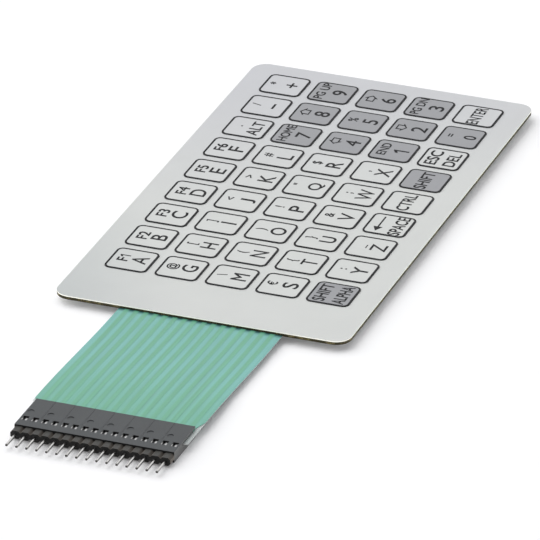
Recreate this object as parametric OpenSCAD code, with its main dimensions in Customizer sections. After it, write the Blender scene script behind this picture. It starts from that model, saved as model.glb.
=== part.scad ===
// Membrane keypad: a flat stack of films with a flat tail, a flex connector
// at the tail's end and a pin header plugged into it.
// Millimetres, +Z out of the front face, the tail towards -X.
// The origin is the centre of the plate's rear face.

/* [Keys] */
// Distance between key centres, both ways
key_pitch = 13.3; // [12.6:0.1:15]
// Key size along a row, over the printed outline
key_length = 11.05; // [9.5:0.05:11.6]
// Key size across the rows, over the printed outline
key_width = 11.2; // [9.5:0.05:11.6]
// Corner radius of a key
key_corner = 1.6; // [0.8:0.1:3]
// Width of the printed key outline
outline_width = 0.5; // [0.3:0.05:1]
// How far a key is embossed above the face
key_emboss = 0.15; // [0.05:0.01:0.18]

/* [Plate] */
// Plate beyond the key centres on the tail side
tail_side_margin = 23.2; // [22:0.1:40]
// Plate beyond the key centres on the far side
far_side_margin = 11; // [8:0.1:25]
// Plate beyond the key centres along the long edges
long_edge_margin = 11.9; // [11.6:0.1:25]
// Corner radius of the plate
plate_corner = 4; // [2:0.1:6]
// How far the rear adhesive stays inside the plate
adhesive_inset = 0.3; // [0:0.1:1.5]

/* [Layers] */
// Rear adhesive thickness
rear_adhesive_t = 0.1; // [0.05:0.01:0.3]
// Thickness of the adhesive under the overlay
bond_t = 0.1; // [0.03:0.01:0.2]
// Thickness of each circuit film
film_t = 0.15; // [0.08:0.01:0.2]
// Thickness of the printed conductors
print_t = 0.04; // [0.02:0.01:0.05]
// Spacer film thickness
spacer_t = 0.35; // [0.14:0.01:0.5]
// Graphic overlay thickness
overlay_t = 0.25; // [0.19:0.01:0.3]
// Thickness of the ink on the face
ink_t = 0.03; // [0.02:0.01:0.05]

/* [Circuit] */
// Diameter of the spacer's hole under a key
switch_hole_d = 9.4; // [8.2:0.1:10]
// Diameter of a printed switch pad
switch_pad_d = 7.4; // [5:0.1:8]
// Width of a printed line inside the plate
line_width = 0.4; // [0.3:0.05:0.45]
// Distance between neighbouring lines of a bundle
line_pitch = 0.65; // [0.5:0.05:0.7]
// Diameter of the pads that join the two prints
bridge_d = 1.6; // [1:0.1:2]

/* [Tail] */
// Free length of the tail between plate and housing
tail_length = 54.7; // [30:0.1:120]
// Tail beyond the first line's centre, on the +Y side
first_line_margin = 2.2; // [1.6:0.05:4]
// Tail beyond the last line's centre, on the -Y side
last_line_margin = 2.4; // [1.6:0.05:4]
// How far the bare film reaches from the housing at the +Y edge
high_bare_length = 1.4; // [0.5:0.1:6]
// How far the bare film reaches from the housing at the -Y edge
low_bare_length = 3.6; // [0.5:0.1:6]
// Width of a printed line on the tail
tail_line_width = 1.1; // [0.8:0.05:1.3]
// Thickness of the green cover coat
cover_t = 0.1; // [0.06:0.01:0.12]
// Height of the ribs in the cover coat
rib_t = 0.03; // [0.02:0.01:0.08]
// Width of the ribs in the cover coat
rib_width = 1.3; // [1.1:0.05:1.6]

/* [Connector] */
// Distance between neighbouring ways
way_pitch = 2.54; // [2.5:0.01:2.6]
// Sideways place of the connector's centre
connector_shift = -0.6; // [-1.5:0.1:0.5]
// Housing height, with the pins half-way up
housing_height = 2.8; // [2.6:0.05:3.4]
// Housing length along the tail
housing_length = 13.6; // [13:0.1:18]
// Housing beyond the last way's centre
housing_end = 1.25; // [1.2:0.05:1.5]
// Depth of the slot that takes the tail
slot_depth = 8.3; // [7.2:0.1:8.6]
// Window size along the tail
window_length = 2; // [1.4:0.05:2.4]
// Window size across the ways
window_width = 1.5; // [1.2:0.05:1.7]
// From the front of the housing to the windows' centres
window_inset = 3.6; // [3:0.05:3.9]
// Diameter of the round marks on the housing
mark_d = 1.7; // [1:0.1:2]

/* [Contacts] */
// Sheet thickness of a contact
contact_t = 0.2; // [0.15:0.01:0.25]
// Length of the contact's two leaves
leaf_length = 4; // [3:0.1:4.4]
// Length of the crimp around the film
crimp_length = 2; // [1.2:0.1:3]
// How far the locking tab stays below the top of the housing
tab_depth = 0.35; // [0.2:0.05:0.5]
// Width of the locking tab
tab_width = 0.45; // [0.3:0.05:0.5]
// Gap between the locking tab and the edges of its window
tab_gap = 0.3; // [0.2:0.05:0.4]

/* [Header] */
// Length of the header body along the pins
header_length = 2.6; // [1.8:0.05:4]
// Height of the header body
header_height = 2.1; // [1.9:0.05:2.5]
// Chamfer between neighbouring header blocks
header_chamfer = 0.55; // [0.3:0.05:0.8]
// Diameter of a pin's free end
pin_d = 0.7; // [0.66:0.02:0.76]
// Diameter of the pin's collar, held inside the header body
collar_d = 1.2; // [1.1:0.02:1.4]
// How far the collar lies behind the header's front face
collar_depth = 0.4; // [0.2:0.05:0.8]
// Width of the pin's square neck, in front of the collar
neck_width = 0.46; // [0.4:0.02:0.46]
// Width of the pin's square post, inside the housing
post_width = 0.64; // [0.5:0.02:0.64]
// Free length of a pin beyond the header body
pin_free = 5.5; // [3:0.1:9]
// Length of the square post inside the housing
post_length = 4.2; // [3:0.1:4.6]
// Length of the chamfer at a pin's tip
pin_tip = 0.2; // [0.1:0.05:0.3]

/* [Hidden] */
$fn = 48;
key_cols = 9;
key_rows = 5;
ways = 16;
corner_steps = 6;
bend_steps = 24;
least_corner = 0.2;
// Overshoot of a cut beyond the face that it opens
cut = 0.02;

// The keys printed in grey: a block of columns and rows, and three
// more as column and row
grey_cols = [6, 7, 8];
grey_rows = [1, 2, 3];
more_grey_keys = [[0, 4], [5, 4], [7, 4]];

plate_length = tail_side_margin + (key_cols - 1) * key_pitch + far_side_margin;
plate_width = (key_rows - 1) * key_pitch + 2 * long_edge_margin;
plate_left = -plate_length / 2;

// Heights of the layers, from the rear face up
lower_z = rear_adhesive_t;
spacer_z = lower_z + film_t;
upper_z = spacer_z + spacer_t;
overlay_bond_z = upper_z + film_t;
overlay_z = overlay_bond_z + bond_t;
face_z = overlay_z + overlay_t;
key_face_z = face_z + key_emboss;
upper_print_z = upper_z - print_t;

// The embossed keys are hollow below
emboss_wall = 0.5;

// Circuit layout
trunk_gap = 2.4;
tail_root = 2;
bridge_inset = 9;
row_ways = [0, 2, 7, 12, 15];
col_ways = [11, 10, 9, 8, 6, 5, 4, 3, 1];
bridge_x = plate_left + bridge_inset;
row_turn_x = key_x(0) - switch_pad_d / 2 - trunk_gap;
bundle_y = key_y(0) + switch_hole_d / 2 + line_pitch;

// Connector places along X
housing_back = plate_left - tail_length;
housing_front = housing_back - housing_length;
slot_end = housing_back - slot_depth;
film_end_gap = 0.5;
film_end = slot_end + film_end_gap;
cover_in_slot = 1.5;
cover_end = housing_back - cover_in_slot;
header_front = housing_front - header_length;
window_x = housing_front + window_inset;
crimp_x = housing_back - slot_depth / 2;
strip_overhang = 0.5;
leaf_set_back = 0.3;
leaf_x = housing_front + leaf_set_back;

// Connector places across the ways and in height
way_span = (ways - 1) * way_pitch;
housing_width = way_span + 2 * housing_end;
housing_low_y = connector_shift - housing_width / 2;
housing_high_y = connector_shift + housing_width / 2;
pin_r = pin_d / 2;
post_half = post_width / 2;
pin_z = housing_height / 2;
pin_gap = 0.05;
strip_z = pin_z + post_half + pin_gap;
grip_z = strip_z + contact_t;
leaf_drop = 0.55;
leaf_z = pin_z - leaf_drop;
roof_gap = 0.1;
cavity_top = grip_z + roof_gap;
contact_width = 1.9;
cavity_width = 2;
tine_gap = 0.05;
tine_y = tail_line_width / 2 + tine_gap;
fold_z = grip_z + film_t + print_t;
fold_gap = 0.03;
slot_top = fold_z + contact_t + fold_gap;
lance_clear = 0.05;
lance_length = window_length / 2 - lance_clear;
lance_x = window_x - window_length / 2 + lance_clear;
lance_y = window_width / 2 - contact_t - lance_clear;
lance_top_gap = 0.08;
tab_length = window_length - 2 * tab_gap;
tab_y = tab_gap - window_width / 2;
mark_depth = 0.15;
mark_gap = 3.6;
seam_width = 0.12;
seam_depth = 0.06;

// The tail's edges, and its gentle climb from the plate to the housing's slot
tail_high_y = way_y(0) + first_line_margin;
tail_low_y = way_y(ways - 1) - last_line_margin;
tail_rise = grip_z - lower_z;

film_colour = [0.85, 0.88, 0.86];
adhesive_colour = [0.9, 0.9, 0.85];
metal_colour = [0.78, 0.78, 0.8];

function key_x(c) = plate_left + tail_side_margin + c * key_pitch;
function key_y(r) = ((key_rows - 1) / 2 - r) * key_pitch;
function way_y(i) = connector_shift + way_span / 2 - i * way_pitch;
function tail_h(x) =
    x >= plate_left ? 0 :
    x <= housing_back ? tail_rise :
    tail_rise * (1 - cos(180 * (plate_left - x) / tail_length)) / 2;
function two_digits(n) = str(n < 10 ? "0" : "", n);

// Outline of a rectangle with round corners, anticlockwise
function round_points(l, w, r) = [
    for (q = [0:3])
        for (k = [0:corner_steps])
            let (a = 90 * q + 90 * k / corner_steps,
                 sx = (q == 0 || q == 3) ? 1 : -1,
                 sy = q < 2 ? 1 : -1)
                [sx * (l / 2 - r) + r * cos(a), sy * (w / 2 - r) + r * sin(a)]
];

CONTACTS = [for (i = [1:ways]) str("contact_", two_digits(i))];
PINS = [for (i = [1:ways]) str("pin_", two_digits(i))];
LAYERS = ["rear_adhesive", "lower_circuit_film", "lower_print", "spacer_film",
    "upper_circuit_film", "upper_print", "overlay_adhesive", "graphic_overlay",
    "key_outlines", "grey_key_fields", "tail_cover", "connector_housing", "header_body"];

// A plate with round corners, centred, from z up
module plate(z, t, inset = 0) {
    l = plate_length - 2 * inset;
    w = plate_width - 2 * inset;
    r = plate_corner - inset;
    translate([0, 0, z]) {
        translate([-l / 2 + r, -w / 2, 0]) cube([l - 2 * r, w, t]);
        translate([-l / 2, -w / 2 + r, 0]) cube([l, w - 2 * r, t]);
        for (sx = [-1, 1])
            for (sy = [-1, 1])
                translate([sx * (l / 2 - r), sy * (w / 2 - r), 0])
                    cylinder(r = r, h = t);
    }
}

// A prism in the shape of a key, made smaller all round by the inset
module key_prism(inset, z, t) {
    translate([0, 0, z])
        linear_extrude(height = t)
            polygon(round_points(key_length - 2 * inset, key_width - 2 * inset,
                max(key_corner - inset, least_corner)));
}

module at_key(c, r) {
    translate([key_x(c), key_y(r), 0]) children();
}

module at_every_key() {
    for (c = [0:key_cols - 1])
        for (r = [0:key_rows - 1])
            at_key(c, r) children();
}

// A printed line along X or along Y, square at the ends
module line_x(x0, x1, y, w, z, t) {
    translate([min(x0, x1) - w / 2, y - w / 2, z]) cube([abs(x1 - x0) + w, w, t]);
}

module line_y(x, y0, y1, w, z, t) {
    translate([x - w / 2, min(y0, y1) - w / 2, z]) cube([w, abs(y1 - y0) + w, t]);
}

// A strip that follows the tail's bend, from z up, between two places along X
// and two along Y
module tail_strip(x0, x1, y0, y1, z, t) {
    bend = [for (k = [0:bend_steps]) housing_back + k * tail_length / bend_steps];
    xs = concat([x0], [for (x = bend) if (x > x0 && x < x1) x], [x1]);
    upper = [for (x = xs) [x, tail_h(x) + z + t]];
    lower = [for (k = [len(xs) - 1:-1:0]) [xs[k], tail_h(xs[k]) + z]];
    translate([0, y1, 0])
        rotate([90, 0, 0])
            linear_extrude(height = y1 - y0) polygon(concat(upper, lower));
}

// A strip of the tail along one way
module way_strip(i, x0, x1, w, z, t) {
    tail_strip(x0, x1, way_y(i) - w / 2, way_y(i) + w / 2, z, t);
}

// The row lines, their pads and the lines that run out along the tail
module lower_lines(z, t) {
    for (r = [0:key_rows - 1]) {
        y = way_y(row_ways[r]);
        line_x(row_turn_x, key_x(key_cols - 1), key_y(r), line_width, z, t);
        line_y(row_turn_x, key_y(r), y, line_width, z, t);
        line_x(bridge_x, row_turn_x, y, line_width, z, t);
        for (c = [0:key_cols - 1])
            at_key(c, r) translate([0, 0, z]) cylinder(d = switch_pad_d, h = t);
    }
    for (i = [0:ways - 1]) {
        way_strip(i, film_end, plate_left + tail_root, tail_line_width, z, t);
        line_x(plate_left + tail_root / 2, bridge_x, way_y(i), line_width, z, t);
    }
}

// The column lines, their pads and the bundle that leads to the bridges
module upper_lines(z, t) {
    for (c = [0:key_cols - 1]) {
        bus_y = bundle_y + c * line_pitch;
        drop_x = row_turn_x - c * line_pitch;
        y = way_y(col_ways[c]);
        line_y(key_x(c), key_y(key_rows - 1), bus_y, line_width, z, t);
        line_x(drop_x, key_x(c), bus_y, line_width, z, t);
        line_y(drop_x, bus_y, y, line_width, z, t);
        line_x(bridge_x, drop_x, y, line_width, z, t);
        for (r = [0:key_rows - 1])
            at_key(c, r) translate([0, 0, z]) cylinder(d = switch_pad_d, h = t);
    }
}

// The dots that carry the columns through the spacer to the lower print
module bridges(z, t) {
    for (i = col_ways)
        translate([bridge_x, way_y(i), z]) cylinder(d = bridge_d, h = t);
}

module rear_adhesive() {
    color(adhesive_colour) plate(0, rear_adhesive_t, adhesive_inset);
}

// The tines of every contact, as they go through the film
module tine_slits() {
    for (i = [0:ways - 1])
        for (s = [-1, 1])
            translate([crimp_x - crimp_length / 2, way_y(i) + s * (tine_y + contact_t / 2) - contact_t / 2,
                grip_z - cut])
                cube([crimp_length, contact_t, film_t + 2 * cut]);
}

module lower_circuit_film() {
    color(film_colour)
        difference() {
            union() {
                plate(lower_z, film_t);
                tail_strip(housing_back, plate_left + plate_corner, tail_low_y, tail_high_y,
                    lower_z, film_t);
                tail_strip(film_end, housing_back + cut, tail_low_y, housing_high_y, lower_z, film_t);
            }
            tine_slits();
        }
}

module lower_print() {
    color(metal_colour) lower_lines(spacer_z, print_t);
}

module spacer_film() {
    color([0.24, 0.2, 0.12])
        difference() {
            plate(spacer_z, spacer_t);
            at_every_key()
                translate([0, 0, spacer_z - cut]) cylinder(d = switch_hole_d, h = spacer_t + 2 * cut);
            lower_lines(spacer_z - cut, print_t + cut);
            upper_lines(upper_print_z, print_t + cut);
            bridges(spacer_z, spacer_t + cut);
        }
}

module upper_print() {
    color(metal_colour) {
        upper_lines(upper_print_z, print_t);
        bridges(spacer_z + print_t, spacer_t - print_t);
    }
}

module upper_circuit_film() {
    color(film_colour) plate(upper_z, film_t);
}

module overlay_adhesive() {
    color(adhesive_colour) plate(overlay_bond_z, bond_t);
}

// The face film, with every key pressed up from below
module graphic_overlay() {
    color([0.82, 0.82, 0.83])
        difference() {
            union() {
                plate(overlay_z, overlay_t);
                at_every_key() key_prism(0, overlay_z + overlay_t / 2, overlay_t / 2 + key_emboss);
            }
            at_every_key() key_prism(emboss_wall, overlay_z - cut, key_emboss + cut);
        }
}

// The outline's ink, on the rim of each key and down its embossed flank
module key_outlines() {
    color([0.08, 0.08, 0.09])
        at_every_key()
            difference() {
                key_prism(-ink_t, face_z, key_emboss + ink_t);
                key_prism(0, face_z - cut, key_emboss + cut);
                key_prism(outline_width, key_face_z - cut, ink_t + 2 * cut);
            }
}

module grey_key_fields() {
    color([0.66, 0.66, 0.69]) {
        for (c = grey_cols)
            for (r = grey_rows)
                at_key(c, r) key_prism(outline_width, key_face_z, ink_t);
        for (k = more_grey_keys)
            at_key(k[0], k[1]) key_prism(outline_width, key_face_z, ink_t);
    }
}

// The room of a bare corner of the film: a slanted cut from the tail's edge to
// the housing's end, and on into the slot
module bare_corner(tail_edge, housing_edge, reach) {
    beyond = tail_edge + sign(tail_edge - housing_edge) * cut;
    linear_extrude(height = housing_height)
        polygon([[housing_back + reach, beyond], [housing_back + reach, tail_edge],
            [housing_back, housing_edge], [cover_end - cut, housing_edge], [cover_end - cut, beyond]]);
}

// The green coat over the tail's printed lines, ribbed where they run
module tail_cover() {
    color([0.52, 0.76, 0.68])
        difference() {
            union() {
                tail_strip(cover_end, plate_left, tail_low_y, tail_high_y, spacer_z, cover_t);
                for (i = [0:ways - 1])
                    way_strip(i, cover_end, plate_left, rib_width, spacer_z + cover_t / 2,
                        cover_t / 2 + rib_t);
            }
            lower_lines(spacer_z - cut, print_t + cut);
            bare_corner(tail_low_y, housing_low_y, low_bare_length);
            bare_corner(tail_high_y, housing_high_y, high_bare_length);
        }
}

// The flex housing: a slot for the tail behind, sockets in front
module connector_housing() {
    color([0.37, 0.38, 0.39])
        difference() {
            translate([housing_front, housing_low_y, 0])
                cube([housing_length, housing_width, housing_height]);
            translate([slot_end, connector_shift - housing_width, strip_z])
                cube([slot_depth + cut, 2 * housing_width, slot_top - strip_z]);
            for (i = [0:ways - 1])
                translate([0, way_y(i), 0]) socket();
            for (i = [0:2:ways - 1])
                translate([window_x + mark_gap, way_y(i), housing_height - mark_depth])
                    cylinder(d = mark_d, h = mark_depth + cut);
            for (i = [1:2:ways - 2])
                translate([window_x, way_y(i) - (way_pitch + seam_width) / 2, housing_height - seam_depth])
                    cube([housing_back - window_x + cut, seam_width, seam_depth + cut]);
        }
}

// The room for one contact, and its window
module socket() {
    translate([housing_front - cut, -cavity_width / 2, leaf_z])
        cube([slot_end - housing_front + 2 * cut, cavity_width, cavity_top - leaf_z]);
    translate([window_x - window_length / 2, -window_width / 2, cavity_top - cut])
        cube([window_length, window_width, housing_height - cavity_top + 2 * cut]);
}

// A stamped contact: a strip with two leaves on the post, a crimp around the
// film, and a tab and a lance that hold it in its window
module contact(i) {
    crimp_low_x = crimp_x - crimp_length / 2;
    crimp_width = 2 * (tine_y + contact_t);
    strip_end = crimp_x + crimp_length / 2 + strip_overhang;
    color([0.8, 0.8, 0.82])
        translate([0, way_y(i), 0]) {
            translate([leaf_x, -contact_width / 2, strip_z])
                cube([strip_end - leaf_x, contact_width, contact_t]);
            for (s = [-1, 1]) {
                translate([leaf_x, s * (post_half + contact_t / 2) - contact_t / 2, leaf_z])
                    cube([leaf_length, contact_t, grip_z - leaf_z]);
                translate([crimp_low_x, s * (tine_y + contact_t / 2) - contact_t / 2, strip_z])
                    cube([crimp_length, contact_t, fold_z + contact_t - strip_z]);
            }
            translate([crimp_low_x, -crimp_width / 2, strip_z])
                cube([crimp_length, crimp_width, contact_t]);
            translate([crimp_low_x, -crimp_width / 2, fold_z])
                cube([crimp_length, crimp_width, contact_t]);
            translate([window_x - tab_length / 2, tab_y, strip_z])
                cube([tab_length, tab_width, housing_height - tab_depth - strip_z]);
            translate([lance_x, lance_y, strip_z])
                cube([lance_length, contact_t, housing_height - lance_top_gap - strip_z]);
        }
}

// Section of one header block, across the pin
function block_points() = let (h = header_height / 2, w = way_pitch / 2, c = header_chamfer) [
    [w, -h + c], [w, h - c], [w - c, h], [-w + c, h],
    [-w, h - c], [-w, -h + c], [-w + c, -h], [w - c, -h]
];

module header_body() {
    color([0.14, 0.14, 0.15])
        difference() {
            for (i = [0:ways - 1])
                translate([header_front, way_y(i), pin_z])
                    rotate([90, 0, 90])
                        linear_extrude(height = header_length) polygon(block_points());
            for (i = [0:ways - 1])
                translate([header_front, way_y(i), pin_z])
                    rotate([0, 90, 0]) {
                        translate([-neck_width / 2, -neck_width / 2, -cut])
                            cube([neck_width, neck_width, collar_depth + 2 * cut]);
                        translate([0, 0, collar_depth])
                            cylinder(d = collar_d, h = header_length - collar_depth + cut);
                    }
        }
}

// A pin: a round end with a chamfered tip, a square neck, a collar that the
// header body holds, and a square post behind
module pin(i) {
    color(metal_colour)
        translate([header_front - pin_free, way_y(i), pin_z])
            rotate([0, 90, 0]) {
                cylinder(r1 = pin_r - pin_tip / 2, r2 = pin_r, h = pin_tip);
                translate([0, 0, pin_tip]) cylinder(r = pin_r, h = pin_free - pin_tip);
                translate([-neck_width / 2, -neck_width / 2, pin_free])
                    cube([neck_width, neck_width, collar_depth]);
                translate([0, 0, pin_free + collar_depth])
                    cylinder(d = collar_d, h = header_length - collar_depth);
                translate([-post_half, -post_half, pin_free + header_length])
                    cube([post_width, post_width, post_length]);
            }
}

rear_adhesive();
lower_circuit_film();
lower_print();
spacer_film();
upper_circuit_film();
upper_print();
overlay_adhesive();
graphic_overlay();
key_outlines();
grey_key_fields();
tail_cover();
connector_housing();
header_body();
for (i = [0:ways - 1]) {
    contact(i);
    pin(i);
}
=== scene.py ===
"""Looks of a membrane keypad with a ribbed flat tail and a pin connector.

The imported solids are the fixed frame, in metres. This script gives each of them its finish, adds the
print on the keys, and stands the keypad in a white studio under the camera of the picture.
"""

import logging
import math
from dataclasses import dataclass
from enum import Enum
from functools import cache

import bmesh
import bpy
from mathutils import Matrix, Quaternion, Vector


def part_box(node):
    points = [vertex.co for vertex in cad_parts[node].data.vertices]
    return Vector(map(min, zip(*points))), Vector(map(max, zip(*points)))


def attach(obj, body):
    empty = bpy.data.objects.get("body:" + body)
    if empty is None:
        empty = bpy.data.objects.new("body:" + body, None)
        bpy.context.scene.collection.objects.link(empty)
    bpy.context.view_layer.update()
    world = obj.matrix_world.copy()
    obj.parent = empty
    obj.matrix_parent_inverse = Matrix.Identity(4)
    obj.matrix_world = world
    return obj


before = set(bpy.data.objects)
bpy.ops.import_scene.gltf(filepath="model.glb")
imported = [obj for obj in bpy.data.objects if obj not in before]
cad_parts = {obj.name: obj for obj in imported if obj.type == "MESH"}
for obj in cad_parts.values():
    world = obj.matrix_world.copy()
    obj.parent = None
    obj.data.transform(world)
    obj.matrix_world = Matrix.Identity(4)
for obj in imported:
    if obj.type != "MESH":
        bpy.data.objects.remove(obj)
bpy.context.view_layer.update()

LOG = logging.getLogger("keypad")
MM = 0.001
BODY = "root"
UP = Vector((0.0, 0.0, 1.0))
WHITE = (1.0, 1.0, 1.0, 1.0)
BLACK = (0.0, 0.0, 0.0, 1.0)
# Where most values of a cloudy pattern lie.
CLOUD_RANGE = (0.3, 0.7)
# The places of the share, the two colours and the mixed colour on a Mix node.
MIX_INPUTS = (0, 6, 7)
MIX_RESULT = 2
# Corners of a letter that are nearer than this, at size 1, are one corner.
MERGE_REACH = 1e-5

Colour = tuple[float, float, float, float]
Socket = bpy.types.NodeSocket
Feed = Socket | float | Colour


def tint(red: float, green: float, blue: float) -> Colour:
    """Turns a screen colour into the linear colour that a shader takes.

    Args:
        red: Red level from 0 to 255.
        green: Green level from 0 to 255.
        blue: Blue level from 0 to 255.

    Returns:
        The linear colour, with full alpha.
    """
    shares = [level / 255 for level in (red, green, blue)]
    return (*[s / 12.92 if s <= 0.04045 else ((s + 0.055) / 1.055) ** 2.4 for s in shares], 1.0)


def shade(colour: Colour, factor: float) -> Colour:
    """Makes a colour lighter or darker.

    Args:
        colour: The linear colour.
        factor: Above 1 for lighter, below 1 for darker.

    Returns:
        The changed colour, with the same alpha.
    """
    return (*[min(1.0, part * factor) for part in colour[:3]], colour[3])


class Sheet:
    """A shader node sheet, with short ways to add and join its nodes."""

    def __init__(self, tree: bpy.types.NodeTree) -> None:
        """Keeps the node tree that the nodes go into."""
        self.tree = tree

    def add(self, kind: str, **settings: object) -> bpy.types.Node:
        """Adds a node.

        Args:
            kind: The node's type name.
            settings: The node's properties and their values.

        Returns:
            The new node.
        """
        node = self.tree.nodes.new(kind)
        for name, value in settings.items():
            setattr(node, name, value)
        return node

    def feed(self, target: Socket, source: Feed) -> None:
        """Links a socket to the target, or sets a plain value on it.

        Args:
            target: The input socket.
            source: An output socket, a number or a colour.
        """
        if isinstance(source, bpy.types.NodeSocket):
            self.tree.links.new(source, target)
        else:
            target.default_value = source

    def math(self, operation: str, first: Feed, second: Feed = 0.0) -> Socket:
        """Adds a sum of two values.

        Args:
            operation: The name of the sum, such as MULTIPLY.
            first: The first value.
            second: The second value, where the sum takes one.

        Returns:
            The result's socket.
        """
        node = self.add("ShaderNodeMath", operation=operation)
        self.feed(node.inputs[0], first)
        self.feed(node.inputs[1], second)
        return node.outputs[0]

    def mix(self, share: Feed, first: Feed, second: Feed) -> Socket:
        """Mixes two colours.

        Args:
            share: How much of the second colour shows, from 0 to 1.
            first: The colour at 0.
            second: The colour at 1.

        Returns:
            The mixed colour's socket.
        """
        node = self.add("ShaderNodeMix", data_type="RGBA")
        for index, source in zip(MIX_INPUTS, (share, first, second)):
            self.feed(node.inputs[index], source)
        return node.outputs[MIX_RESULT]

    def ease(self, value: Feed, low: float, high: float, start: Feed = 0.0, end: Feed = 1.0) -> Socket:
        """Eases from one number to another while a value passes through a range.

        Args:
            value: The value that is read.
            low: Where the range starts.
            high: Where the range ends.
            start: The result at the start.
            end: The result at the end.

        Returns:
            The result's socket.
        """
        node = self.add("ShaderNodeMapRange", interpolation_type="SMOOTHSTEP")
        for index, source in enumerate((value, low, high, start, end)):
            self.feed(node.inputs[index], source)
        return node.outputs[0]

    def place(self) -> Socket:
        """Gives the point on the surface in the keypad's own frame."""
        return self.add("ShaderNodeTexCoord").outputs["Object"]

    def along(self, axis: str) -> Socket:
        """Gives one of X, Y and Z of the point on the surface, in metres."""
        split = self.add("ShaderNodeSeparateXYZ")
        self.feed(split.inputs[0], self.place())
        return split.outputs[axis]

    def stretched(self, across: tuple[float, float, float]) -> Socket:
        """Scales the point on the surface, to draw a pattern out in one direction.

        Args:
            across: Factors for X, Y and Z.

        Returns:
            The scaled point's socket.
        """
        node = self.add("ShaderNodeMapping", vector_type="POINT")
        self.feed(node.inputs["Vector"], self.place())
        node.inputs["Scale"].default_value = across
        return node.outputs[0]

    def noise(self, point: Socket, scale: Feed, detail: float = 2.0) -> Socket:
        """Adds a cloudy pattern.

        Args:
            point: The point that is looked up.
            scale: Cells in a metre.
            detail: How many finer layers are added.

        Returns:
            The pattern's socket, around 0.5.
        """
        node = self.add("ShaderNodeTexNoise")
        self.feed(node.inputs["Vector"], point)
        self.feed(node.inputs["Scale"], scale)
        node.inputs["Detail"].default_value = detail
        return node.outputs[0]

    def bump(self, height: Socket, depth: float) -> Socket:
        """Turns a height pattern into a relief.

        Args:
            height: The pattern, from 0 to 1.
            depth: The relief's full depth in metres.

        Returns:
            The normal's socket.
        """
        node = self.add("ShaderNodeBump")
        node.inputs["Distance"].default_value = depth
        self.feed(node.inputs["Height"], height)
        return node.outputs[0]

    def effect(self, tree: bpy.types.NodeTree, **values: float) -> bpy.types.Node:
        """Places a shared effect.

        Args:
            tree: The effect's node group.
            values: Its inputs by name.

        Returns:
            The placed group node.
        """
        node = self.add("ShaderNodeGroup", node_tree=tree)
        for name, value in values.items():
            node.inputs[name.capitalize()].default_value = value
        return node


class Effects:
    """The effects that several finishes share, each built once as a node group."""

    broad_cells: float = 60.0
    grain_detail: float = 3.0
    fleck_cells: float = 5.0
    fleck_detail: float = 4.0
    fleck_range: tuple[float, float] = (0.24, 0.36)
    side_range: tuple[float, float] = (0.25, 0.6)
    top_range: tuple[float, float] = (0.4, 0.9)
    front_range: tuple[float, float] = (-0.4, -0.9)

    @staticmethod
    def start(name: str, inputs: tuple[str, ...], outputs: tuple[str, ...]) -> bpy.types.NodeTree:
        """Makes an empty node group with number sockets.

        Args:
            name: The group's name.
            inputs: Names of the values that go in.
            outputs: Names of the values that come out.

        Returns:
            The group, with its input and output nodes in place.
        """
        tree = bpy.data.node_groups.new(name, "ShaderNodeTree")
        for names, way in ((inputs, "INPUT"), (outputs, "OUTPUT")):
            for socket in names:
                tree.interface.new_socket(name=socket, in_out=way, socket_type="NodeSocketFloat")
        tree.nodes.new("NodeGroupInput")
        tree.nodes.new("NodeGroupOutput")
        return tree

    @staticmethod
    @cache
    def grain() -> bpy.types.NodeTree:
        """Builds the fine grain of a film or a moulding.

        Returns:
            A group that takes the grain's size in millimetres, and gives its height and a broad tone.
        """
        tree = Effects.start("surface_grain", ("Size",), ("Height", "Tone"))
        sheet = Sheet(tree)
        entry, end = tree.nodes["Group Input"], tree.nodes["Group Output"]
        cells = sheet.math("DIVIDE", 1 / MM, entry.outputs["Size"])
        broad = sheet.math("DIVIDE", cells, Effects.broad_cells)
        sheet.feed(end.inputs["Height"], sheet.noise(sheet.place(), cells, Effects.grain_detail))
        clouds = sheet.noise(sheet.place(), broad, Effects.grain_detail)
        sheet.feed(end.inputs["Tone"], sheet.ease(clouds, *CLOUD_RANGE))
        return tree

    @staticmethod
    @cache
    def facing() -> bpy.types.NodeTree:
        """Builds the masks that tell a flat face from a cut edge.

        Returns:
            A group that gives 1 on upright edges as Side, on faces that look up as Top, and on faces
            that look along the pins as Front.
        """
        tree = Effects.start("face_or_edge", (), ("Side", "Top", "Front"))
        sheet = Sheet(tree)
        split = sheet.add("ShaderNodeSeparateXYZ")
        sheet.feed(split.inputs[0], sheet.add("ShaderNodeTexCoord").outputs["Normal"])
        lean = sheet.math("ABSOLUTE", split.outputs["Z"])
        end = tree.nodes["Group Output"]
        sheet.feed(end.inputs["Side"], sheet.ease(lean, *Effects.side_range, start=1.0, end=0.0))
        sheet.feed(end.inputs["Top"], sheet.ease(split.outputs["Z"], *Effects.top_range))
        sheet.feed(end.inputs["Front"], sheet.ease(split.outputs["X"], *Effects.front_range))
        return tree

    @staticmethod
    @cache
    def flecks() -> bpy.types.NodeTree:
        """Builds the rough, flecked look of a layer that was cut with a blade.

        Returns:
            A group that takes the flecks' size in millimetres, and gives their mask.
        """
        tree = Effects.start("cut_flecks", ("Size",), ("Flecks",))
        sheet = Sheet(tree)
        entry, end = tree.nodes["Group Input"], tree.nodes["Group Output"]
        cells = sheet.math("DIVIDE", 1 / MM, entry.outputs["Size"])
        drag = sheet.math("DIVIDE", cells, Effects.fleck_cells)
        fine = sheet.noise(sheet.place(), cells, Effects.fleck_detail)
        mixed = sheet.math("MULTIPLY", fine, sheet.noise(sheet.place(), drag))
        sheet.feed(end.inputs["Flecks"], sheet.ease(mixed, *Effects.fleck_range))
        return tree


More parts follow.
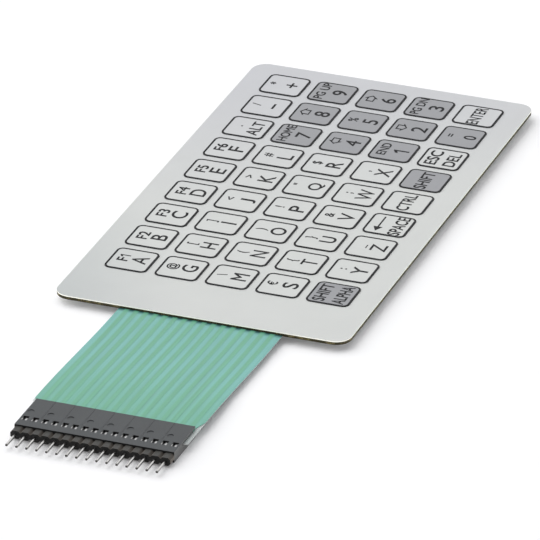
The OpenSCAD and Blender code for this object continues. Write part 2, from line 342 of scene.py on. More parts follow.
@dataclass(frozen=True)
class Finish:
    """A named surface finish, made of shader nodes."""

    name: str
    colour: Colour
    roughness: float
    grain_size: float = 0.2
    grain_depth: float = 0.004 * MM
    tone_spread: float = 0.04
    gloss_spread: float = 0.06
    shine: float = 0.3

    def build(self) -> bpy.types.Material:
        """Builds the finish's material.

        Returns:
            The new material.
        """
        material = bpy.data.materials.new(self.name)
        material.use_nodes = True
        shader = material.node_tree.nodes["Principled BSDF"]
        shader.inputs["Specular IOR Level"].default_value = self.shine
        self.paint(Sheet(material.node_tree), shader)
        return material

    def paint(self, sheet: Sheet, shader: bpy.types.Node) -> None:
        """Joins colour, gloss and grain to the shader.

        Args:
            sheet: The material's node sheet.
            shader: Its surface shader.
        """
        grain = sheet.effect(Effects.grain(), size=self.grain_size)
        self.join_grain(sheet, shader, grain)
        sheet.feed(shader.inputs["Base Color"], self.toned(sheet, grain, self.colour))

    def toned(self, sheet: Sheet, grain: bpy.types.Node, colour: Colour) -> Socket:
        """Varies a colour a little over the surface.

        Args:
            sheet: The material's node sheet.
            grain: The placed grain effect.
            colour: The middle colour.

        Returns:
            The varied colour's socket.
        """
        dark, light = shade(colour, 1 - self.tone_spread), shade(colour, 1 + self.tone_spread)
        return sheet.mix(grain.outputs["Tone"], dark, light)

    def join_grain(self, sheet: Sheet, shader: bpy.types.Node, grain: bpy.types.Node) -> None:
        """Lets the grain set the shader's roughness and relief.

        Args:
            sheet: The material's node sheet.
            shader: Its surface shader.
            grain: The placed grain effect.
        """
        dull, bright = self.roughness + self.gloss_spread, self.roughness - self.gloss_spread
        gloss = sheet.ease(grain.outputs["Height"], *CLOUD_RANGE, bright, dull)
        sheet.feed(shader.inputs["Roughness"], gloss)
        sheet.feed(shader.inputs["Normal"], sheet.bump(grain.outputs["Height"], self.grain_depth))


@dataclass(frozen=True)
class PaintedShadeRamp:
    """A painted shade: a slow change to another tone, along a direction in the keypad's plane, where less
    light falls on the plate.
    """

    colour: Colour
    way: tuple[float, float]
    start: float
    end: float


@dataclass(frozen=True)
class CutFilm(Finish):
    """A film with painted shade that may change slowly across it, and a cut edge of its own colour that may
    carry a painted highlight.
    """

    edge: Colour = WHITE
    # The strength of a painted highlight: the cut edge sends out light in its own colour, though it is no
    # lamp.
    painted_edge_highlight: float = 0.0
    painted_shade_ramps: tuple[PaintedShadeRamp, ...] = ()

    def paint(self, sheet: Sheet, shader: bpy.types.Node) -> None:
        """Paints the face with its painted shade, and the edge with its painted highlight.

        Args:
            sheet: The material's node sheet.
            shader: Its surface shader.
        """
        grain = sheet.effect(Effects.grain(), size=self.grain_size)
        self.join_grain(sheet, shader, grain)
        side = sheet.effect(Effects.facing()).outputs["Side"]
        face = self.toned(sheet, grain, self.colour)
        # Each ramp paints shade: it darkens the face where less light falls on the plate.
        for shade_ramp in self.painted_shade_ramps:
            shares = zip("XY", shade_ramp.way)
            parts = [sheet.math("MULTIPLY", sheet.along(axis), share) for axis, share in shares]
            reached = sheet.ease(sheet.math("ADD", *parts), shade_ramp.start, shade_ramp.end)
            face = sheet.mix(reached, face, self.toned(sheet, grain, shade_ramp.colour))
        sheet.feed(shader.inputs["Base Color"], sheet.mix(side, face, self.edge))
        # Painted highlight: the cut edge glows in its own colour.
        sheet.feed(shader.inputs["Emission Color"], sheet.mix(side, BLACK, self.edge))
        shader.inputs["Emission Strength"].default_value = self.painted_edge_highlight


@dataclass(frozen=True)
class FleckedLayer(Finish):
    """An inner layer whose cut edge is dark, with pale flecks."""

    fleck: Colour = WHITE
    fleck_size: float = 0.35

    def paint(self, sheet: Sheet, shader: bpy.types.Node) -> None:
        """Paints the layer and its flecks.

        Args:
            sheet: The material's node sheet.
            shader: Its surface shader.
        """
        grain = sheet.effect(Effects.grain(), size=self.grain_size)
        self.join_grain(sheet, shader, grain)
        flecks = sheet.effect(Effects.flecks(), size=self.fleck_size)
        body = self.toned(sheet, grain, self.colour)
        sheet.feed(shader.inputs["Base Color"], sheet.mix(flecks.outputs["Flecks"], body, self.fleck))


@dataclass(frozen=True)
class ClearFilm(Finish):
    """A clear film: half seen through on its faces, white at the tail's edges, dark at the plate's."""

    edge: Colour = WHITE
    stack_edge: Colour = WHITE
    plate_start: float = 0.0
    face_cover: float = 0.45
    edge_cover: float = 0.95

    def paint(self, sheet: Sheet, shader: bpy.types.Node) -> None:
        """Paints the film and how much it covers.

        Args:
            sheet: The material's node sheet.
            shader: Its surface shader.
        """
        grain = sheet.effect(Effects.grain(), size=self.grain_size)
        self.join_grain(sheet, shader, grain)
        side = sheet.effect(Effects.facing()).outputs["Side"]
        face = self.toned(sheet, grain, self.colour)
        in_plate = sheet.math("GREATER_THAN", sheet.along("X"), self.plate_start)
        rim = sheet.mix(in_plate, self.edge, self.stack_edge)
        sheet.feed(shader.inputs["Base Color"], sheet.mix(side, face, rim))
        sheet.feed(shader.inputs["Alpha"], sheet.ease(side, 0.0, 1.0, self.face_cover, self.edge_cover))


@dataclass(frozen=True)
class RibbedCoat(Finish):
    """The tail's coat: green over the printed lines, bluer in the valleys between them, with painted shadow
    where it comes out from under the plate.
    """

    valley: Colour = WHITE
    # Painted shadow of the plate's edge: a dark tone for the valleys near the mouth, and one for the whole
    # coat right at it.
    painted_valley_shadow: Colour = WHITE
    root: Colour = WHITE
    first_way: float = 0.0
    last_way: float = 0.0
    way_pitch: float = 2.54 * MM
    mouth: float = 0.0
    shade_reach: float = 2.0 * MM
    root_reach: float = 0.5 * MM
    fade_reach: tuple[float, float] = (-54.0 * MM, -22.0 * MM)
    fade_share: float = 0.45
    rib_range: tuple[float, float] = (-0.75, 0.75)
    streak_stretch: tuple[float, float, float] = (25.0, 900.0, 25.0)
    streak_detail: float = 3.0
    streak_spread: float = 0.06

    def paint(self, sheet: Sheet, shader: bpy.types.Node) -> None:
        """Paints the ribs, the valleys, the painted shadow of the plate's edge and the long faint streaks.

        Args:
            sheet: The material's node sheet.
            shader: Its surface shader.
        """
        grain = sheet.effect(Effects.grain(), size=self.grain_size)
        self.join_grain(sheet, shader, grain)
        along = sheet.along("X")
        below = sheet.math("MINIMUM", sheet.along("Y"), self.first_way + self.way_pitch / 2)
        within = sheet.math("MAXIMUM", below, self.last_way - self.way_pitch / 2)
        way = sheet.math("SUBTRACT", within, self.first_way)
        turn = sheet.math("MULTIPLY", way, 2 * math.pi / self.way_pitch)
        wave = sheet.math("COSINE", turn)
        rib = sheet.ease(wave, *self.rib_range)
        fade_start, fade_end = (self.mouth + reach for reach in self.fade_reach)
        faded = sheet.ease(along, fade_start, fade_end, self.fade_share)
        # Painted shadow of the plate's edge: the valleys darken within the shade reach of the mouth, and
        # the whole coat darkens close to it.
        shaded = sheet.ease(along, self.mouth - self.shade_reach, self.mouth)
        rooted = sheet.ease(along, self.mouth - self.root_reach, self.mouth)
        clear = sheet.mix(faded, self.colour, self.valley)
        valley = sheet.mix(shaded, clear, self.painted_valley_shadow)
        ribbed = sheet.mix(rib, valley, self.colour)
        colour = sheet.mix(rooted, ribbed, self.root)
        streak = sheet.noise(sheet.stretched(self.streak_stretch), scale=1.0, detail=self.streak_detail)
        level = sheet.ease(streak, *CLOUD_RANGE, 1 - self.streak_spread, 1 + self.streak_spread)
        tone = sheet.add("ShaderNodeHueSaturation")
        sheet.feed(tone.inputs["Value"], level)
        sheet.feed(tone.inputs["Color"], colour)
        sheet.feed(shader.inputs["Base Color"], tone.outputs[0])


@dataclass(frozen=True)
class Moulding(Finish):
    """A moulded plastic with painted light on its side walls and painted shade on faces that look along the
    pins.
    """

    # Painted light on the side walls and painted shade on the fronts, as lit and shaded copies of the
    # plastic.
    painted_wall_light: Colour = WHITE
    front: Colour = WHITE

    def paint(self, sheet: Sheet, shader: bpy.types.Node) -> None:
        """Paints the top faces, the painted light on the side walls and the painted shade on the fronts.

        Args:
            sheet: The material's node sheet.
            shader: Its surface shader.
        """
        grain = sheet.effect(Effects.grain(), size=self.grain_size)
        self.join_grain(sheet, shader, grain)
        facing = sheet.effect(Effects.facing())
        face = self.toned(sheet, grain, self.colour)
        # The side walls get painted light and the fronts painted shade.
        painted_sides = sheet.mix(facing.outputs["Front"], self.painted_wall_light, self.front)
        sheet.feed(shader.inputs["Base Color"], sheet.mix(facing.outputs["Top"], painted_sides, face))


@dataclass(frozen=True)
class Plating(Finish):
    """A plated metal with fine drawing marks along the pins, and a darker tone at the tip."""

    cut: Colour = WHITE
    cut_from: float = 0.0
    cut_reach: float = 0.25 * MM
    drawn: tuple[float, float, float] = (300.0, 9000.0, 9000.0)

    def paint(self, sheet: Sheet, shader: bpy.types.Node) -> None:
        """Paints the metal, its drawing marks and its darker tip.

        Args:
            sheet: The material's node sheet.
            shader: Its surface shader.
        """
        shader.inputs["Metallic"].default_value = 1.0
        marks = sheet.noise(sheet.stretched(self.drawn), scale=1.0)
        dark, light = shade(self.colour, 1 - self.tone_spread), shade(self.colour, 1 + self.tone_spread)
        metal = sheet.mix(marks, dark, light)
        # The tip is darker over the last cut reach.
        end = sheet.ease(sheet.along("X"), self.cut_from + self.cut_reach, self.cut_from)
        sheet.feed(shader.inputs["Base Color"], sheet.mix(end, metal, self.cut))
        bright, dull = self.roughness - self.gloss_spread, self.roughness + self.gloss_spread
        sheet.feed(shader.inputs["Roughness"], sheet.ease(marks, *CLOUD_RANGE, bright, dull))
        sheet.feed(shader.inputs["Normal"], sheet.bump(marks, self.grain_depth))


def dress(nodes: list[str], finish: Finish) -> None:
    """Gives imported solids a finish, and reports each of them.

    Args:
        nodes: The solids' names.
        finish: The finish that they share.
    """
    material = finish.build()
    for node in nodes:
        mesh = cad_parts[node].data
        mesh.materials.clear()
        mesh.materials.append(material)
        LOG.info("%s: %s", node, finish.name)


def add_piece(name: str, shape: bmesh.types.BMesh, material: bpy.types.Material) -> None:
    """Makes a new piece of the keypad and lets it ride on it.

    Args:
        name: The piece's name.
        shape: Its mesh in the keypad's frame, which is freed.
        material: Its material.
    """
    mesh = bpy.data.meshes.new(name)
    shape.to_mesh(mesh)
    shape.free()
    mesh.materials.append(material)
    piece = bpy.data.objects.new(name, mesh)
    bpy.context.scene.collection.objects.link(piece)
    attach(piece, BODY)
    LOG.info("%s: %d faces", name, len(mesh.polygons))


class Arrow(Enum):
    """The outline arrows on the number keys, with each one's turn from pointing right, in degrees."""

    RIGHT = 0
    UP = 90
    LEFT = 180
    DOWN = 270


@dataclass(frozen=True)
class Mark:
    """One sign or line of letters on a key, with sizes in key pitches."""

    rise: float
    shift: float = 0.0

    def shape(self) -> bmesh.types.BMesh:
        """Makes the mark around the key's centre, one unit thick and one pitch to the unit."""
        raise NotImplementedError

    @staticmethod
    def thicken(shape: bmesh.types.BMesh) -> bmesh.types.BMesh:
        """Gives a flat outline its thickness of one unit.

        Args:
            shape: Flat faces at height 0, which are changed.

        Returns:
            The closed shape.
        """
        grown = bmesh.ops.extrude_face_region(shape, geom=shape.faces[:])["geom"]
        lifted = [item for item in grown if isinstance(item, bmesh.types.BMVert)]
        bmesh.ops.translate(shape, verts=lifted, vec=UP)
        bmesh.ops.recalc_face_normals(shape, faces=shape.faces[:])
        return shape

    @staticmethod
    def outline(points: list[tuple[float, float]]) -> bmesh.types.BMesh:
        """Makes one flat face from the corners of an outline.

        Args:
            points: The corners in order.

        Returns:
            A shape with that face.
        """
        shape = bmesh.new()
        shape.faces.new([shape.verts.new((x, y, 0.0)) for x, y in points])
        shape.normal_update()
        return shape


@dataclass(frozen=True)
class Letters(Mark):
    """A line of letters in the plain built-in face."""

    text: str = ""
    cap_height: float = 0.28
    squeeze: float = 1.0
    width: float = 0.0
    weight: float = 0.0
    fitted: bool = False
    curve_steps: int = 4

    def shape(self) -> bmesh.types.BMesh:
        """Sets the letters in their width and height.

        Returns:
            The closed shape, with the capitals centred on the key's centre.
        """
        shape = Letters.set_in_type(self.text, self.curve_steps, self.weight)
        low, high = Letters.spread(shape)
        capital = Letters.capital_height()
        even = self.cap_height / capital
        tall = self.cap_height / (high.y - low.y) if self.fitted else even
        wide = self.width / (high.x - low.x) if self.width else even * self.squeeze
        centre_height = (low.y + high.y) / 2 if self.fitted else capital / 2
        middle = Vector(((low.x + high.x) / 2, centre_height, 0.0))
        place = Matrix.Diagonal((wide, tall, 1.0, 1.0)) @ Matrix.Translation(-middle)
        bmesh.ops.transform(shape, matrix=place, verts=shape.verts[:])
        return shape

    @staticmethod
    @cache
    def capital_height() -> float:
        """Gives the height of a capital in the built-in face at size 1."""
        shape = Letters.set_in_type("H", 1, 0.0)
        low, high = Letters.spread(shape)
        shape.free()
        return high.y - low.y

    @staticmethod
    def spread(shape: bmesh.types.BMesh) -> tuple[Vector, Vector]:
        """Measures a shape.

        Args:
            shape: The shape.

        Returns:
            Its lowest and highest corners.
        """
        points = [vert.co for vert in shape.verts]
        low = Vector([min(point[axis] for point in points) for axis in range(3)])
        high = Vector([max(point[axis] for point in points) for axis in range(3)])
        return low, high

    @staticmethod
    def set_in_type(text: str, steps: int, weight: float) -> bmesh.types.BMesh:
        """Turns a line of text into a closed shape, from height 0 to 1.

        Args:
            text: The letters.
            steps: How finely their curves are divided.
            weight: How far their outlines are moved outwards, to make them bolder.

        Returns:
            The shape, with its baseline on Y = 0.
        """
        curve = bpy.data.curves.new("letters", type="FONT")
        curve.body = text
        curve.resolution_u = steps
        holder = bpy.data.objects.new("letters", curve)
        bpy.context.scene.collection.objects.link(holder)
        depsgraph = bpy.context.evaluated_depsgraph_get()
        mesh = bpy.data.meshes.new_from_object(holder.evaluated_get(depsgraph))
        shape = bmesh.new()
        shape.from_mesh(mesh)
        bmesh.ops.remove_doubles(shape, verts=shape.verts[:], dist=MERGE_REACH)
        grown = bmesh.ops.inset_region(shape, faces=shape.faces[:], thickness=-weight, use_boundary=True)
        bmesh.ops.delete(shape, geom=grown["faces"], context="FACES")
        bpy.data.objects.remove(holder)
        bpy.data.curves.remove(curve)
        bpy.data.meshes.remove(mesh)
        return Mark.thicken(shape)


@dataclass(frozen=True)
class FlaggedOne(Mark):
    """The numeral one with its flag, which the built-in face draws as a plain bar."""

    height: float = 0.31
    stroke_share: float = 0.145
    reach_share: float = 0.24
    drop_share: float = 0.18

    def shape(self) -> bmesh.types.BMesh:
        """Makes the numeral from its outline.

        Returns:
            The closed shape.
        """
        half, right = self.height / 2, self.height / 2 * self.stroke_share
        left, tip = -right, -right - self.height * self.reach_share
        drop = self.height * self.drop_share
        inner = half - drop
        flag = [(left, inner - right), (tip, inner - drop), (tip, inner), (left / 2, half)]
        return Mark.thicken(Mark.outline([(right, half), (right, -half), (left, -half), *flag][::-1]))


@dataclass(frozen=True)
class OutlineArrow(Mark):
    """A hollow arrow that points along a row or a column."""

    way: Arrow = Arrow.RIGHT
    length: float = 0.265
    spread: float = 0.335
    stem_share: float = 0.6
    stroke: float = 0.032
    flatten: float = 0.8

    def shape(self) -> bmesh.types.BMesh:
        """Makes the arrow's line from its outline.

        Returns:
            The closed shape.
        """
        half, stem = self.length / 2, self.spread / 2 * self.stem_share
        upper = [(-half, stem), (0.0, stem), (0.0, self.spread / 2)]
        corners = [*upper, (half, 0.0), *[(x, -y) for x, y in reversed(upper)]]
        shape = Mark.outline(corners)
        inner = shape.faces[:]
        bmesh.ops.inset_region(
            shape, faces=inner, thickness=self.stroke, use_boundary=True, use_even_offset=True
        )
        bmesh.ops.delete(shape, geom=inner, context="FACES")
        turn = Matrix.Rotation(math.radians(self.way.value), 4, "Z")
        flat = Matrix.Diagonal((1.0, self.flatten, 1.0, 1.0))
        bmesh.ops.transform(shape, matrix=flat @ turn, verts=shape.verts[:])
        return Mark.thicken(shape)


@dataclass(frozen=True)
class LineArrow(Mark):
    """The long thin arrow above the space key's word, pointing left."""

    length: float = 0.61
    stroke: float = 0.032
    head_length: float = 0.18
    head_spread: float = 0.18

    def shape(self) -> bmesh.types.BMesh:
        """Makes the arrow from its outline.

        Returns:
            The closed shape.
        """
        half = self.length / 2
        neck = self.head_length - half
        upper = [(neck, self.head_spread / 2), (neck, self.stroke / 2), (half, self.stroke / 2)]
        corners = [(-half, 0.0), *upper, *[(x, -y) for x, y in reversed(upper)]]
        return Mark.thicken(Mark.outline(corners))


@dataclass(frozen=True)
class KeyPrint:
    """What is printed on one key, and whether the key has a grey field."""

    marks: tuple[Mark, ...]
    grey: bool = False


# Widths of the keypad's large letters, as shares of those of the built-in face.
LETTER_WIDTHS: dict[str, float] = {
    "A": 0.92, "D": 0.95, "E": 1.1, "F": 1.14, "G": 0.93, "H": 0.87, "J": 1.2, "M": 0.92, "N": 0.88,
    "O": 0.89, "P": 1.1, "Q": 0.88, "S": 1.18, "T": 0.85, "U": 0.88, "W": 0.87, "X": 0.92, "Z": 0.92,
    "2": 1.06, "3": 1.14, "7": 1.06, "9": 1.04,
}


@dataclass(frozen=True)
class Typesetting:
    """The sizes and places of the print on the keys, in key pitches."""

    main_cap: float = 0.31
    main_weight: float = 0.014
    main_rise: float = -0.142
    main_shift: float = 0.035
    zero_cap: float = 0.24
    zero_rise: float = -0.18
    upper_cap: float = 0.178
    upper_weight: float = 0.022
    upper_rise: float = 0.208
    upper_squeeze: float = 0.94
    upper_shift: float = 0.025
    word_cap: float = 0.23
    word_weight: float = 0.024
    label_cap: float = 0.21
    label_rise: float = 0.18
    label_weight: float = 0.026
    label_squeeze: float = 1.08
    label_f_shift: float = -0.022
    label_one_shift: float = 0.14
    word_width: float = 0.7

    def sign_key(self, upper: str, main: str, grey: bool = False) -> KeyPrint:
        """Sets a small sign above a large one.

        Args:
            upper: The small sign.
            main: The large sign.
            grey: Whether the key has a grey field.

        Returns:
            The key's print.
        """
        return KeyPrint((self.upper(upper), self.main(main)), grey)

    def upper(self, text: str, width: float = 0.0) -> Letters:
        """Sets a small sign or word at the top of a key, to a width if one is given."""
        return Letters(
            self.upper_rise,
            self.upper_shift,
            text,
            self.upper_cap,
            squeeze=self.upper_squeeze,
            width=width,
            weight=self.upper_weight,
        )

    def main(self, text: str) -> Mark:
        """Sets a large sign at the bottom of a key."""
        if text == "1":
            return FlaggedOne(self.main_rise, self.main_shift, self.main_cap)
        if text == "0":
            return Letters(self.zero_rise, self.main_shift, text, self.zero_cap, weight=self.main_weight)
        return Letters(
            self.main_rise,
            self.main_shift,
            text,
            self.main_cap,
            squeeze=LETTER_WIDTHS.get(text, 1.0),
            weight=self.main_weight,
            fitted=text.isalnum(),
        )

    def label_key(self, label: str, main: str) -> KeyPrint:
        """Sets a function key's label above its letter."""
        if label == "F1":
            one = FlaggedOne(self.label_rise, self.label_one_shift, self.label_cap)
            return KeyPrint((self.label("F", self.label_f_shift), one, self.main(main)))
        return KeyPrint((self.label(label, self.upper_shift), self.main(main)))

    def label(self, text: str, shift: float) -> Letters:
        """Sets the letters of a function key's label."""
        return Letters(
            self.label_rise, shift, text, self.label_cap, self.label_squeeze, weight=self.label_weight
        )

    def word(self, text: str, width: float, rise: float = 0.015) -> Letters:
        """Sets a whole word to a width."""
        return Letters(rise, 0.0, text, self.word_cap, width=width, weight=self.word_weight)

    def number_key(self, upper: Mark, main: str) -> KeyPrint:
        """Sets a number under a small word or an arrow, on a grey field."""
        return KeyPrint((upper, self.main(main)), grey=True)

    def arrow(self, way: Arrow) -> OutlineArrow:
        """Sets an outline arrow at the top of a key."""
        return OutlineArrow(self.upper_rise, self.upper_shift, way)

    def layout(self) -> tuple[tuple[KeyPrint, ...], ...]:
        """Lists the print of every key.

        Returns:
            The rows from the top, each from the tail's side.
        """
        sign, number = self.sign_key, self.number_key
        top = (
            *[self.label_key(f"F{n}", letter) for n, letter in enumerate("ABCDEF", start=1)],
            KeyPrint((self.upper("."), self.word("ALT", width=0.585, rise=-0.155))),
            sign("/", "\N{MINUS SIGN}"),
            sign("*", "+"),
        )
        second = (
            *[sign(upper, main) for upper, main in zip("@[]<>#", "GHIJKL")],
            number(self.upper("HOME", self.word_width), "7"),
            number(self.arrow(Arrow.UP), "8"),
            number(self.upper("PG UP", self.word_width), "9"),
        )
        third = (
            *[sign(upper, main) for upper, main in zip("\\()!\"$", "MNOPQR")],
            number(self.arrow(Arrow.LEFT), "4"),
            number(self.upper("%"), "5"),
            number(self.arrow(Arrow.RIGHT), "6"),
        )
        fourth = (
            *[sign(upper, main) for upper, main in zip("\N{EURO SIGN}{}&;,", "STUVWX")],
            number(self.upper("END", width=0.5), "1"),
            number(self.arrow(Arrow.DOWN), "2"),
            number(self.upper("PG DN", self.word_width), "3"),
        )
        last = (
            KeyPrint(
                (self.word("SHIFT", width=0.68, rise=0.195), self.word("ALPHA", width=0.71, rise=-0.19)),
                grey=True,
            ),
            sign(":", "Y"),
            sign("_", "Z"),
            KeyPrint((LineArrow(rise=0.178), self.word("SPACE", width=0.74, rise=-0.19))),
            KeyPrint((self.word("CTRL", width=0.68),)),
            KeyPrint((self.word("SHIFT", width=0.7),), grey=True),
            KeyPrint((self.word("ESC", width=0.59, rise=0.185), self.word("DEL", width=0.56, rise=-0.185))),
            sign("=", "0", grey=True),
            KeyPrint((self.word("ENTER", width=0.72),)),
        )
        return top, second, third, fourth, last


@dataclass
class KeyFace:
    """The front film with its key outlines, grey fields and printed signs."""

    pitch: float = 13.3 * MM
    print_depth: float = 0.02 * MM
    film: Finish = CutFilm(
        "front_film",
        tint(204, 206, 203),
        roughness=0.5,
        grain_size=0.22,
        tone_spread=0.012,
        edge=tint(232, 232, 222),
        # A painted highlight that brightens the film's cut edge.
        painted_edge_highlight=0.66,
        # Painted shade: darker, cooler tones towards the far end and the near left corner, where less light
        # falls on the plate.
        painted_shade_ramps=(
            PaintedShadeRamp(tint(193, 194, 197), way=(1.0, 0.5), start=-20.0 * MM, end=90.0 * MM),
            PaintedShadeRamp(tint(186, 190, 189), way=(-0.6, 1.0), start=40.0 * MM, end=84.0 * MM),
        ),
    )
    black: Finish = Finish(
        "black_print", tint(28, 28, 30), roughness=0.6, grain_size=0.25, tone_spread=0.12, shine=0.1
    )
    grey: Finish = Finish(
        "grey_print", tint(146, 147, 150), roughness=0.5, grain_size=0.22, tone_spread=0.02
    )

    def build(self) -> None:
        """Dresses the film and its fields, and prints the signs row by row."""
        dress(["graphic_overlay"], self.film)
        dress(["grey_key_fields"], self.grey)
        dress(["key_outlines"], self.black)
        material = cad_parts["key_outlines"].data.materials[0]
        for index, row in enumerate(Typesetting().layout()):
            add_piece(f"legends_row_{index + 1}", self.print_row(index, row), material)

    def print_row(self, row: int, keys: tuple[KeyPrint, ...]) -> bmesh.types.BMesh:
        """Sets all the signs of a row of keys.

        Args:
            row: The row's number from the top, from 0.
            keys: The print of its keys.

        Returns:
            One shape that holds them all.
        """
        joined = bmesh.new()
        size = Matrix.Diagonal((self.pitch, self.pitch, self.print_depth, 1.0))
        for column, key in enumerate(keys):
            centre = self.key_centre(column, row, key.grey, len(keys))
            for mark in key.marks:
                shape = mark.shape()
                shift = Vector((mark.shift, mark.rise, 0.0)) * self.pitch
                place = Matrix.Translation(centre + shift) @ size
                bmesh.ops.transform(shape, matrix=place, verts=shape.verts[:])
                KeyFace.append(joined, shape)
        return joined

    def key_centre(self, column: int, row: int, grey: bool, columns: int) -> Vector:
        """Finds the middle of a key's printed face.

        Args:
            column: The key's number in its row, from 0.
            row: The row's number from the top, from 0.
            grey: Whether the key has a grey field.
            columns: How many keys a row has.

        Returns:
            The point in the keypad's frame.
        """
        low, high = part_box("key_outlines")
        middle = (low + high) / 2
        rows = round((high.y - low.y) / self.pitch)
        carrier = "grey_key_fields" if grey else "graphic_overlay"
        x = middle.x + (column - (columns - 1) / 2) * self.pitch
        y = middle.y - (row - (rows - 1) / 2) * self.pitch
        return Vector((x, y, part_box(carrier)[1].z))

    @staticmethod
    def append(target: bmesh.types.BMesh, extra: bmesh.types.BMesh) -> None:
        """Adds one shape to another, and frees it.

        Args:
            target: The shape that grows.
            extra: The shape that is added.
        """
        mesh = bpy.data.meshes.new("extra")
        extra.to_mesh(mesh)
        extra.free()
        target.from_mesh(mesh)
        bpy.data.meshes.remove(mesh)


@dataclass
class FilmStack:
    """The layers under the front film, seen at the plate's cut edge and from below."""

    brown: Colour = tint(62, 57, 36)
    tan: Colour = tint(134, 124, 84)
    clear: Colour = tint(214, 222, 220)
    clear_edge: Colour = tint(236, 240, 238)
    edge_slack: float = 0.05 * MM
    silver: Finish = Finish(
        "silver_print", tint(176, 176, 180), roughness=0.5, grain_size=0.08, tone_spread=0.08
    )
    backing: Finish = CutFilm(
        "rear_adhesive",
        tint(224, 224, 220),
        roughness=0.55,
        grain_size=0.4,
        tone_spread=0.03,
        edge=tint(90, 80, 56),
    )

    def build(self) -> None:
        """Dresses the adhesives, the films, the spacer and the printed lines."""
        layer = FleckedLayer("spacer_edge", self.brown, roughness=0.7, fleck=self.tan)
        dress(["spacer_film", "overlay_adhesive", "upper_circuit_film"], layer)
        plate_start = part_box("graphic_overlay")[0].x - self.edge_slack
        clear = ClearFilm(
            "clear_film",
            self.clear,
            roughness=0.3,
            tone_spread=0.02,
            edge=self.clear_edge,
            stack_edge=self.brown,
            plate_start=plate_start,
        )
        dress(["lower_circuit_film"], clear)
        dress(["lower_print", "upper_print"], self.silver)
        dress(["rear_adhesive"], self.backing)


@dataclass
class Tail:
    """The green coat on the flat tail, with painted shadow where it comes out from under the plate."""

    way_pitch: float = 2.54 * MM
    rib: Colour = tint(96, 164, 134)
    valley: Colour = tint(108, 173, 165)
    # Painted shadow of the plate's edge on the coat: a dark tone for the valleys and one for the whole coat
    # next to the plate.
    painted_valley_shadow: Colour = tint(18, 66, 72)
    root: Colour = tint(24, 62, 52)

    def build(self) -> None:
        """Dresses the coat, with its ribs in line with the pins."""
        pins = [name for name in sorted(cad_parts) if name.startswith("pin_")]
        boxes = [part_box(pin) for pin in (pins[0], pins[-1])]
        first_way, last_way = ((low.y + high.y) / 2 for low, high in boxes)
        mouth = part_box("graphic_overlay")[0].x
        coat = RibbedCoat(
            "green_coat",
            self.rib,
            roughness=0.42,
            grain_size=0.3,
            grain_depth=0.006 * MM,
            valley=self.valley,
            painted_valley_shadow=self.painted_valley_shadow,
            root=self.root,
            first_way=first_way,
            last_way=last_way,
            way_pitch=self.way_pitch,
            mouth=mouth,
        )
        dress(["tail_cover"], coat)


@dataclass
class Connector:
    """The crimp housing, the header plugged onto it, and their metal parts."""

    housing: Finish = Moulding(
        "housing_plastic",
        tint(60, 63, 65),
        roughness=0.62,
        grain_size=0.12,
        tone_spread=0.05,
        # Painted light on the side walls and painted shade on the fronts.
        painted_wall_light=tint(124, 124, 123),
        front=tint(18, 18, 19),
    )
    header: Finish = Moulding(
        "header_plastic",
        tint(43, 42, 39),
        roughness=0.6,
        grain_size=0.1,
        tone_spread=0.06,
        # Painted light on the side walls and painted shade on the fronts.
        painted_wall_light=tint(118, 110, 102),
        front=tint(18, 17, 16),
    )
    bright: Colour = tint(150, 150, 150)
    steel: Colour = tint(164, 163, 162)
    # The darker tone at the pins' tips.
    cut: Colour = tint(64, 62, 60)

    def build(self) -> None:
        """Dresses the mouldings, the contacts and the pins."""
        dress(["connector_housing"], self.housing)
        dress(["header_body"], self.header)
        names = sorted(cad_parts)
        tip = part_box("pin_01")[0].x
        contacts = Plating(
            "contact_plating", self.bright, roughness=0.42, tone_spread=0.08, cut=self.bright, cut_from=tip
        )
        pins = Plating(
            "pin_plating", self.steel, roughness=0.24, tone_spread=0.06, cut=self.cut, cut_from=tip
        )
        dress([name for name in names if name.startswith("contact_")], contacts)
        dress([name for name in names if name.startswith("pin_")], pins)


@dataclass(frozen=True)
class Lamp:
    """A soft square lamp that looks at the keypad."""

    name: str
    heading: float
    height: float
    level: float
    side: float
    distance: float = 6.0
    colour: tuple[float, float, float] = (1.0, 1.0, 1.0)

    def build(self, target: Vector) -> None:
        """Hangs the lamp, with the power that gives its level on a flat surface.

        Args:
            target: The point that it looks at.
        """
        lamp = bpy.data.lights.new(self.name, type="AREA")
        lamp.shape = "SQUARE"
        lamp.size = self.side
        lamp.color = self.colour
        turn, lift = math.radians(self.heading), math.radians(self.height)
        away = Vector((math.cos(turn) * math.cos(lift), math.sin(turn) * math.cos(lift), math.sin(lift)))
        lamp.energy = self.level * (math.pi * self.distance) ** 2 / math.sin(lift)
        holder = bpy.data.objects.new(self.name, lamp)
        holder.location = target + away * self.distance
        holder.rotation_euler = away.to_track_quat("Z", "Y").to_euler()
        bpy.context.scene.collection.objects.link(holder)
        LOG.info("%s: %.1f W", self.name, lamp.energy)


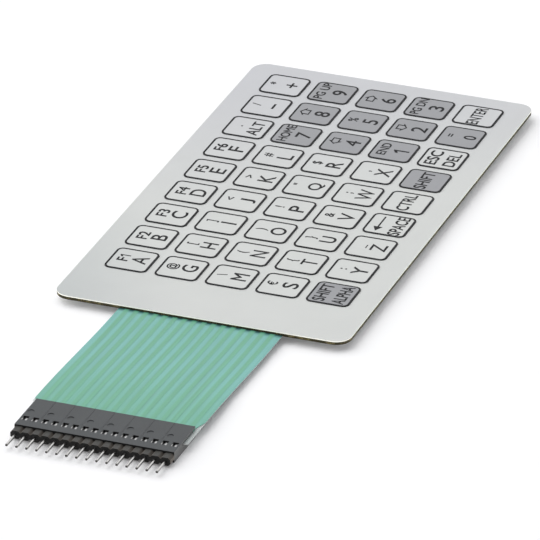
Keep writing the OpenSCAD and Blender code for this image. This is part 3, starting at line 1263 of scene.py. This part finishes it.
@dataclass
class Studio:
    """The white floor, the light and the camera of the picture."""

    floor_side: float = 30.0
    floor_dips: tuple[tuple[float, float], ...] = (
        (-105.0 * MM, 0.03 * MM), (-71.0 * MM, 1.5 * MM), (74.0 * MM, 1.7 * MM),
    )
    floor_colour: Colour = (0.94, 0.94, 0.94, 1.0)
    floor_lift: float = 0.1
    fill_level: float = 0.33
    fill_colour: Colour = (0.95, 0.955, 1.0, 1.0)
    lamps: tuple[Lamp, ...] = (
        Lamp("key_lamp", heading=80.0, height=44.0, level=0.765, side=9.0),
        Lamp("back_lamp", heading=12.0, height=50.0, level=0.42, side=9.0),
    )
    aim: tuple[float, float, float] = (-38.444 * MM, -6.629 * MM, 0.15 * MM)
    azimuth: float = 291.114
    elevation: float = 27.108
    roll: float = -0.418
    distance: float = 1733.66 * MM
    lens: float = 467.82
    sensor: float = 36.0
    clip_factor: float = 100.0

    def build(self) -> None:
        """Sets up the view, the floor, the surroundings, the lamps and the camera."""
        bpy.context.scene.view_settings.view_transform = "Standard"
        self.lay_floor()
        self.light_world()
        for lamp in self.lamps:
            lamp.build(Vector(self.aim))
        self.set_camera()

    @staticmethod
    def seen_mask(sheet: Sheet) -> Socket:
        """Gives 1 for rays that come from the camera, a reflection or a clear piece.

        Args:
            sheet: The node sheet that needs the mask.

        Returns:
            The mask's socket.
        """
        rays = sheet.add("ShaderNodeLightPath").outputs
        mirrored = sheet.math("MAXIMUM", rays["Is Glossy Ray"], rays["Is Transmission Ray"])
        return sheet.math("MAXIMUM", rays["Is Camera Ray"], mirrored)

    def lay_floor(self) -> None:
        """Lays the floor, which dips below the plate, keeps its shadow and reads as white elsewhere."""
        material = bpy.data.materials.new("floor_white")
        material.use_nodes = True
        sheet = Sheet(material.node_tree)
        shader = material.node_tree.nodes["Principled BSDF"]
        shader.inputs["Base Color"].default_value = self.floor_colour
        shader.inputs["Roughness"].default_value = 1.0
        shader.inputs["Specular IOR Level"].default_value = 0.0
        shader.inputs["Emission Color"].default_value = WHITE
        lift = sheet.math("MULTIPLY", Studio.seen_mask(sheet), self.floor_lift)
        sheet.feed(shader.inputs["Emission Strength"], lift)
        shape = bmesh.new()
        bmesh.ops.create_grid(shape, x_segments=1, y_segments=1, size=self.floor_side / 2)
        across = Vector((1.0, 0.0, 0.0))
        for place, _ in self.floor_dips:
            whole = shape.verts[:] + shape.edges[:] + shape.faces[:]
            bmesh.ops.bisect_plane(shape, geom=whole, plane_co=across * place, plane_no=across)
        for vert in shape.verts:
            nearest = min(self.floor_dips, key=lambda dip: abs(dip[0] - vert.co.x))
            vert.co.z = -nearest[1]
        mesh = bpy.data.meshes.new("floor")
        shape.to_mesh(mesh)
        shape.free()
        mesh.materials.append(material)
        floor = bpy.data.objects.new("floor", mesh)
        bpy.context.scene.collection.objects.link(floor)

    def light_world(self) -> None:
        """Makes surroundings that look white and light the keypad softly."""
        world = bpy.data.worlds.new("studio")
        world.use_nodes = True
        bpy.context.scene.world = world
        sheet = Sheet(world.node_tree)
        background = world.node_tree.nodes["Background"]
        seen = Studio.seen_mask(sheet)
        sheet.feed(background.inputs["Color"], sheet.mix(seen, self.fill_colour, WHITE))
        sheet.feed(background.inputs["Strength"], sheet.ease(seen, 0.0, 1.0, self.fill_level, 1.0))

    def set_camera(self) -> None:
        """Stands the camera where the picture was taken from."""
        camera = bpy.data.cameras.new("camera")
        camera.lens = self.lens
        camera.sensor_width = self.sensor
        camera.clip_start = self.distance / self.clip_factor
        camera.clip_end = self.distance * self.clip_factor
        turn, lift = math.radians(self.azimuth), math.radians(self.elevation)
        back = Vector((math.sin(turn) * math.cos(lift), -math.cos(turn) * math.cos(lift), math.sin(lift)))
        holder = bpy.data.objects.new("camera", camera)
        holder.rotation_mode = "QUATERNION"
        holder.location = Vector(self.aim) + back * self.distance
        lean = Quaternion(UP, math.radians(self.roll))
        holder.rotation_quaternion = (-back).to_track_quat("-Z", "Y") @ lean
        bpy.context.scene.collection.objects.link(holder)
        bpy.context.scene.camera = holder


def write_sizes() -> None:
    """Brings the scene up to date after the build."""
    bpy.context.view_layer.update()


def main() -> None:
    """Builds the sub-assemblies in order, then the studio around them."""
    logging.basicConfig(level=logging.INFO, format="%(name)s %(message)s")
    for assembly in (FilmStack(), KeyFace(), Tail(), Connector(), Studio()):
        assembly.build()
    write_sizes()


if __name__ == "__main__":
    main()
